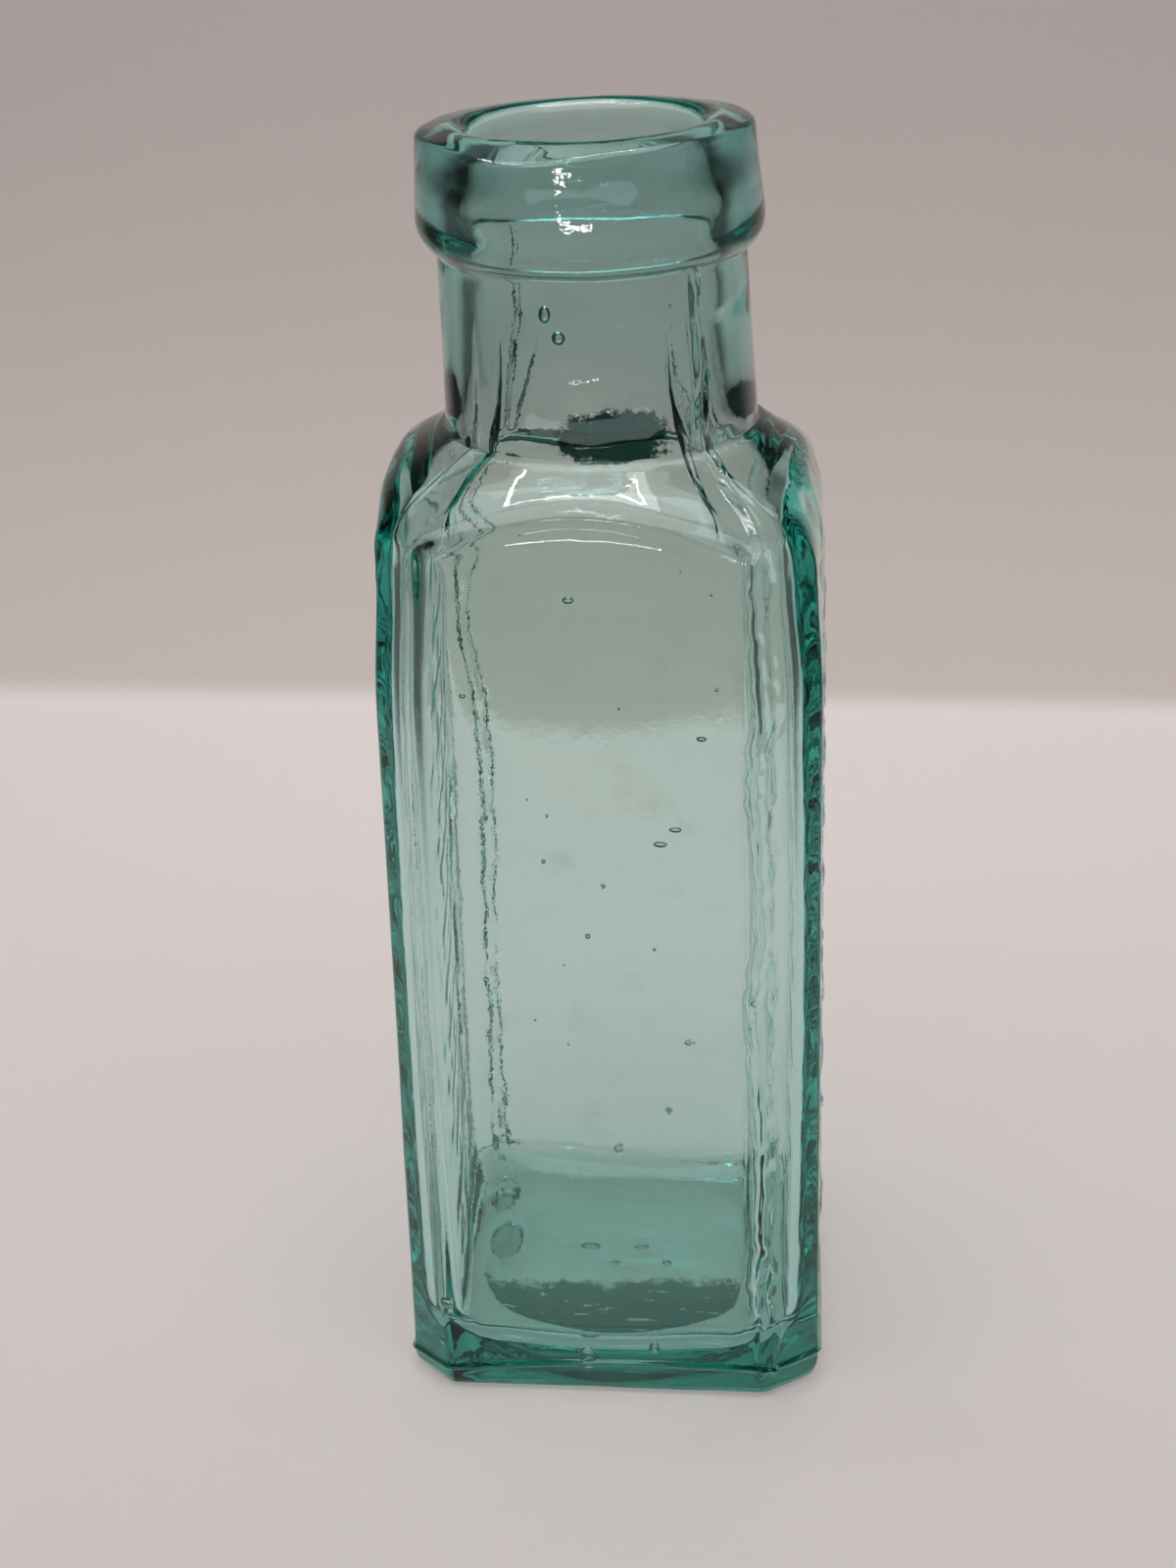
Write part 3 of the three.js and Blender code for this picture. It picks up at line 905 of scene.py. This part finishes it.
class Nodes:
    """Short ways to add nodes to a material or a world."""

    def __init__(self, owner):
        self.nodes = owner.node_tree.nodes
        self.links = owner.node_tree.links

    def add(self, kind, **settings):
        node = self.nodes.new("ShaderNode" + kind)
        for name, value in settings.items():
            setattr(node, name, value)
        return node

    def feed(self, socket, value):
        """Joins a socket to another one, or sets it to a constant."""
        if isinstance(value, bpy.types.NodeSocket):
            self.links.new(value, socket)
        else:
            socket.default_value = value

    def math(self, operation, *values):
        node = self.add("Math", operation=operation)
        for number, value in enumerate(values):
            self.feed(node.inputs[number], value)
        return node.outputs["Value"]

    def product(self, first, *others):
        for other in others:
            first = self.math("MULTIPLY", first, other)
        return first

    def length(self, x, y):
        """Distance from the origin in a plane."""
        return self.math("SQRT", self.math("ADD", self.product(x, x), self.product(y, y)))

    def parts(self, vector):
        """The x, y and z of a vector."""
        node = self.add("SeparateXYZ")
        self.links.new(vector, node.inputs["Vector"])
        return [node.outputs[axis] for axis in "XYZ"]

    def run(self, value, span, target=(0, 1), smooth=True):
        """A value mapped from a range to another one and held at its ends."""
        node = self.add("MapRange", interpolation_type="SMOOTHSTEP" if smooth else "LINEAR")
        names = ("From Min", "From Max", "To Min", "To Max")
        for name, number in zip(names, (*span, *target)):
            node.inputs[name].default_value = number
        self.links.new(value, node.inputs["Value"])
        return node.outputs["Result"]

    def noise(self, vector, wavelength, detail, roughness):
        """Noise round 0.5 with waves of about the given length in millimetres."""
        node = self.add("TexNoise")
        self.links.new(vector, node.inputs["Vector"])
        node.inputs["Scale"].default_value = 1 / (wavelength * MM)
        node.inputs["Detail"].default_value = detail
        node.inputs["Roughness"].default_value = roughness
        return node.outputs["Fac"]

    def mix(self, factor, first, second, blend="MIX"):
        node = self.add("Mix", data_type="RGBA", blend_type=blend)
        self.feed(node.inputs["Factor"], factor)
        self.feed(node.inputs[MIX_FIRST], first)
        self.feed(node.inputs[MIX_SECOND], second)
        return node.outputs[MIX_RESULT]


def specks(kit, place):
    """1 in small scattered dots and 0 elsewhere."""
    cells = kit.add("TexVoronoi")
    kit.links.new(place, cells.inputs["Vector"])
    cells.inputs["Scale"].default_value = 1 / (SPECK_PITCH * MM)
    colour = kit.add("SeparateColor")
    kit.links.new(cells.outputs["Color"], colour.inputs["Color"])
    size = kit.run(colour.outputs["Red"], SPECK_PICK, SPECK_SIZES, smooth=False)
    return kit.math("LESS_THAN", cells.outputs["Distance"], size)


def painted_floor_shade(kit, place):
    """How strong the painted shade on the front of the inside floor is. It has a ragged edge and thinner
    streaks.
    """
    x, y, z = kit.parts(place)
    grain = kit.math("ADD", kit.noise(place, *FLOOR_SHADE_GRAIN_NOISE), kit.noise(place, *FLOOR_SHADE_PATCH_NOISE))
    edge = kit.math("MULTIPLY_ADD", grain, FLOOR_SHADE_RAGGED * MM, (FLOOR_SHADE_EDGE - FLOOR_SHADE_RAGGED) * MM)
    before = kit.math("SUBTRACT", edge, y)
    shaded = kit.run(before, metres((-FLOOR_SHADE_BLUR, FLOOR_SHADE_BLUR)))
    low, high = metres(FLOOR_SHADE_HEIGHTS)
    stretched = kit.add("Mapping")
    stretched.inputs["Scale"].default_value = FLOOR_SHADE_GAP_STRETCH
    kit.links.new(place, stretched.inputs["Vector"])
    gaps = kit.noise(stretched.outputs["Vector"], *FLOOR_SHADE_GAP_NOISE)
    return kit.product(
        shaded,
        kit.math("LESS_THAN", kit.length(x, y), FLOOR_SHADE_RADIUS * MM),
        kit.math("GREATER_THAN", z, low),
        kit.math("LESS_THAN", z, high),
        kit.run(gaps, FLOOR_SHADE_GAP_SPAN, (1, FLOOR_SHADE_GAP_LEFT)),
    )


def painted_neck_shade(kit, place):
    """How strong the painted shade is, a ragged dark patch on the inside of the neck's front."""
    x, y, z = kit.parts(place)
    ways = []
    for value, middle, half in zip((x, z), metres(NECK_SHADE_PLACE), metres(NECK_SHADE_HALF)):
        way = kit.math("DIVIDE", kit.math("SUBTRACT", value, middle), half)
        ways.append(kit.math("POWER", way, 2.0))
    grain = kit.noise(place, *NECK_SHADE_NOISE)
    ragged = kit.math("MULTIPLY_ADD", grain, NECK_SHADE_RAGGED, -NECK_SHADE_RAGGED / 2)
    away = kit.math("ADD", kit.math("ADD", *ways), ragged)
    return kit.product(
        kit.run(away, NECK_SHADE_EDGE, (1, 0)),
        kit.math("LESS_THAN", y, NECK_SHADE_FRONT * MM),
        kit.math("LESS_THAN", kit.length(x, y), NECK_SHADE_DEPTH * MM),
    )


def glass_dust_and_shade(kit, place):
    """Colour of the glass's skin: greyer up the neck, painted shade at the foot, dust, specks, and painted
    shade on the front of the inside floor and on the inside of the neck's front.
    """
    height = kit.parts(place)[2]
    # greyer towards the neck
    dust_and_shade = kit.mix(kit.run(height, metres(NECK_GREY_HEIGHTS)), CLEAR_GLASS_COLOUR, NECK_GREY_COLOUR)
    # painted shade towards the foot
    low = kit.run(height, metres(FOOT_SHADE_HEIGHTS), (1, 0))
    dust_and_shade = kit.mix(low, dust_and_shade, FOOT_SHADE_COLOUR, "MULTIPLY")
    dust = kit.run(kit.noise(place, *DUST_NOISE), DUST_SPAN)
    dust_and_shade = kit.mix(dust, dust_and_shade, DUST_COLOUR, "MULTIPLY")
    dust_and_shade = kit.mix(specks(kit, place), dust_and_shade, SPECK_COLOUR)
    # painted shade on the front of the inside floor
    dust_and_shade = kit.mix(painted_floor_shade(kit, place), dust_and_shade, FLOOR_SHADE_COLOUR)
    # painted shade low on the neck's front
    return kit.mix(painted_neck_shade(kit, place), dust_and_shade, NECK_SHADE_COLOUR)


def glass_material():
    """Pale green-blue glass: the tint is in its depth, and its skin is faintly rippled, dusty and carries
    painted shade.
    """
    material = bpy.data.materials.new("aqua_glass")
    material.use_nodes = True
    kit = Nodes(material)
    place = kit.add("TexCoord").outputs["Object"]
    shader = kit.nodes["Principled BSDF"]
    kit.links.new(glass_dust_and_shade(kit, place), shader.inputs["Base Color"])
    dull = kit.run(kit.noise(place, *DULL_NOISE), DULL_SPAN, DULL_ROUGHNESS)
    kit.links.new(dull, shader.inputs["Roughness"])
    shader.inputs["IOR"].default_value = GLASS_INDEX
    shader.inputs["Transmission Weight"].default_value = 1.0
    bump = kit.add("Bump")
    bump.inputs["Strength"].default_value = SKIN_BUMP_STRENGTH
    bump.inputs["Distance"].default_value = SKIN_BUMP * MM
    kit.links.new(kit.noise(place, *SKIN_BUMP_NOISE), bump.inputs["Height"])
    kit.links.new(bump.outputs["Normal"], shader.inputs["Normal"])
    absorb = kit.add("VolumeAbsorption")
    absorb.inputs["Color"].default_value = GLASS_TINT
    absorb.inputs["Density"].default_value = GLASS_TINT_DENSITY
    kit.links.new(absorb.outputs["Volume"], kit.nodes["Material Output"].inputs["Volume"])
    return material


def paper_colour_and_light(kit):
    """The floor's colour with painted light: it brightens from front to back, turns into the backdrop's
    with height, darkens upwards into painted shade, and dims away from the bottle.
    """
    x, y, z = kit.parts(kit.add("TexCoord").outputs["Object"])
    # painted light along the floor
    far = kit.run(y, metres((FLOOR_FRONT, FLOOR_BACK_EDGE)))
    floor = kit.mix(far, FLOOR_NEAR_COLOUR, FLOOR_FAR_COLOUR)
    # painted light fading up the backdrop
    wall = kit.mix(kit.run(z, metres((0, WALL_HIGH))), WALL_LOW_COLOUR, WALL_HIGH_COLOUR)
    # painted shade high on the backdrop
    wall = kit.mix(kit.run(z, metres((WALL_HIGH, WALL_DARK))), wall, WALL_DARK_COLOUR)
    paper = kit.mix(kit.run(z, metres((0, EDGE_SOFTNESS))), floor, wall)
    reach = kit.length(x, kit.math("SUBTRACT", y, POOL_BACK * MM))
    return kit.mix(kit.run(reach, metres(POOL_EDGE)), paper, POOL_EDGE_COLOUR, "MULTIPLY")


def stage_material(name):
    """Matt paper, lit by the lamps so that it keeps the shadow, with a share of glow in the same colour.

    Only the camera and the glass see the glow. The paper has one face: from behind, the backdrop
    doesn't hide the bottle."""
    material = bpy.data.materials.new(name)
    material.use_nodes = True
    kit = Nodes(material)
    paper = paper_colour_and_light(kit)
    shader = kit.nodes["Principled BSDF"]
    shader.inputs["Roughness"].default_value = PAPER_ROUGHNESS
    shader.inputs["Specular IOR Level"].default_value = 0.0
    kit.links.new(paper, shader.inputs["Base Color"])
    glow = kit.add("Emission")
    glow.inputs["Strength"].default_value = GLOW_STRENGTH
    kit.links.new(paper, glow.inputs["Color"])

    path = kit.add("LightPath").outputs
    seen = kit.math("MAXIMUM", path["Is Camera Ray"], path["Is Glossy Ray"])
    seen = kit.math("MAXIMUM", seen, path["Is Transmission Ray"])
    front = kit.add("MixShader")
    kit.links.new(kit.math("MULTIPLY", seen, GLOW_SHARE), front.inputs["Fac"])
    kit.links.new(shader.outputs["BSDF"], front.inputs[1])
    kit.links.new(glow.outputs["Emission"], front.inputs[2])
    both = kit.add("MixShader")
    kit.links.new(kit.add("NewGeometry").outputs["Backfacing"], both.inputs["Fac"])
    kit.links.new(front.outputs["Shader"], both.inputs[1])
    kit.links.new(kit.add("BsdfTransparent").outputs["BSDF"], both.inputs[2])
    kit.links.new(both.outputs["Shader"], kit.nodes["Material Output"].inputs["Surface"])
    return material


def make_stage():
    """Floor and backdrop in one sheet with a tight bend behind the bottle, square to it."""
    line = [(-STAGE_REACH, 0.0)]
    for turn in quarter_turns(BEND_STEPS):
        line.append((FLOOR_BACK_EDGE + BEND_RADIUS * math.sin(turn), BEND_RADIUS * (1 - math.cos(turn))))
    line.append((FLOOR_BACK_EDGE + BEND_RADIUS, BACKDROP_HEIGHT))
    points = []
    for back, height in line:
        for across in (-STAGE_REACH, STAGE_REACH):
            points.append((across, back, height - FLOOR_DROP))
    faces = [(2 * n, 2 * n + 1, 2 * n + 3, 2 * n + 2) for n in range(len(line) - 1)]
    sheet = smooth_object("stage", points, faces)
    sheet.data.materials.append(stage_material("stage_paper"))


def camera_axes():
    """Directions to the right, up and ahead in the picture."""
    heading, pitch, roll = (math.radians(a) for a in (CAMERA_HEADING, CAMERA_PITCH, CAMERA_ROLL))
    forward = math.cos(pitch)
    ahead = Vector((-math.sin(heading) * forward, math.cos(heading) * forward, -math.sin(pitch)))
    level = Vector((math.cos(heading), math.sin(heading), 0))
    above = level.cross(ahead)
    right = level * math.cos(roll) + above * math.sin(roll)
    up = above * math.cos(roll) - level * math.sin(roll)
    return right, up, ahead


def make_camera():
    camera = bpy.data.objects.new("camera", bpy.data.cameras.new("camera"))
    right, up, ahead = camera_axes()
    turn = Matrix((right, up, -ahead)).transposed().to_4x4()
    camera.matrix_world = Matrix.Translation(Vector(CAMERA_PLACE) * MM) @ turn
    camera.data.lens = CAMERA_LENS
    camera.data.sensor_width = CAMERA_SENSOR
    camera.data.clip_start = CAMERA_NEAR * MM
    bpy.context.collection.objects.link(camera)
    bpy.context.scene.camera = camera


def area_light(name, place, along, ahead, size, power):
    """A flat lamp whose long side runs along one direction and which shines ahead."""
    lamp = bpy.data.lights.new(name, "AREA")
    lamp.shape = "RECTANGLE"
    lamp.size, lamp.size_y = metres(size)
    lamp.energy = power
    along = Vector(along).normalized()
    back = -Vector(ahead).normalized()
    side = back.cross(along)
    turn = Matrix((along, side, back)).transposed().to_4x4()
    light = bpy.data.objects.new(name, lamp)
    light.matrix_world = Matrix.Translation(Vector(place) * MM) @ turn
    light.visible_camera = False
    bpy.context.collection.objects.link(light)


def light_strips(name, strips, ahead):
    """Thin lamps from end to end, which shine ahead."""
    for number, ends in enumerate(strips):
        start, end = (Vector(point) for point in ends)
        length = (end - start).length
        power = STRIP_RADIANCE * math.pi * length * STRIP_WIDTH * MM * MM
        area_light(f"{name}_{number}", (start + end) / 2, end - start, ahead, (length, STRIP_WIDTH), power)


def make_room():
    """Dim light from all round, less of it from behind the camera and from above."""
    world = bpy.data.worlds.new("studio")
    world.use_nodes = True
    kit = Nodes(world)
    _, back, up = kit.parts(kit.add("TexCoord").outputs["Generated"])
    level = kit.run(back, ROOM_BACK_SINES, ROOM_LEVELS)
    share = kit.run(up, ROOM_UP_SINES, ROOM_UP_SHARES)
    background = kit.nodes["Background"]
    background.inputs["Color"].default_value = ROOM_COLOUR
    kit.links.new(kit.product(level, share), background.inputs["Strength"])
    bpy.context.scene.world = world


def make_lamps():
    area_light("softbox", SOFTBOX_PLACE, ACROSS, DOWN, SOFTBOX_SIZE, SOFTBOX_POWER)
    area_light("panel", PANEL_PLACE, ACROSS, DOWN, PANEL_SIZE, PANEL_POWER)
    light_strips("front_strip", FRONT_STRIPS, BACKWARDS)
    light_strips("top_strip", TOP_STRIPS, DOWN)


def set_rendering(scene):
    """Colours as they are written, and light paths long enough for thick glass."""
    scene.view_settings.view_transform = "Standard"
    scene.cycles.sample_clamp_indirect = CLAMP_INDIRECT
    scene.cycles.blur_glossy = 0.0
    scene.cycles.max_bounces = GLASS_BOUNCES
    scene.cycles.transmission_bounces = GLASS_BOUNCES
    scene.cycles.glossy_bounces = OTHER_BOUNCES
    scene.cycles.transparent_max_bounces = OTHER_BOUNCES


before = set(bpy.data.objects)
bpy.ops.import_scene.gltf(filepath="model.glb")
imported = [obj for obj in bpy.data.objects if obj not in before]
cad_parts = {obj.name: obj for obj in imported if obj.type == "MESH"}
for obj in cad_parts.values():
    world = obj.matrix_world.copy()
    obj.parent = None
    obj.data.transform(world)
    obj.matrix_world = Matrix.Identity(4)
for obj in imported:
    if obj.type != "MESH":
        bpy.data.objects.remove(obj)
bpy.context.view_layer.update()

make_camera()
make_stage()
make_room()
make_lamps()
set_rendering(bpy.context.scene)
glass = glass_skin("bottle_glass")
glass.data.materials.append(glass_material())
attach(glass, "root")
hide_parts("base", "body", "shoulder", "neck", "lip")
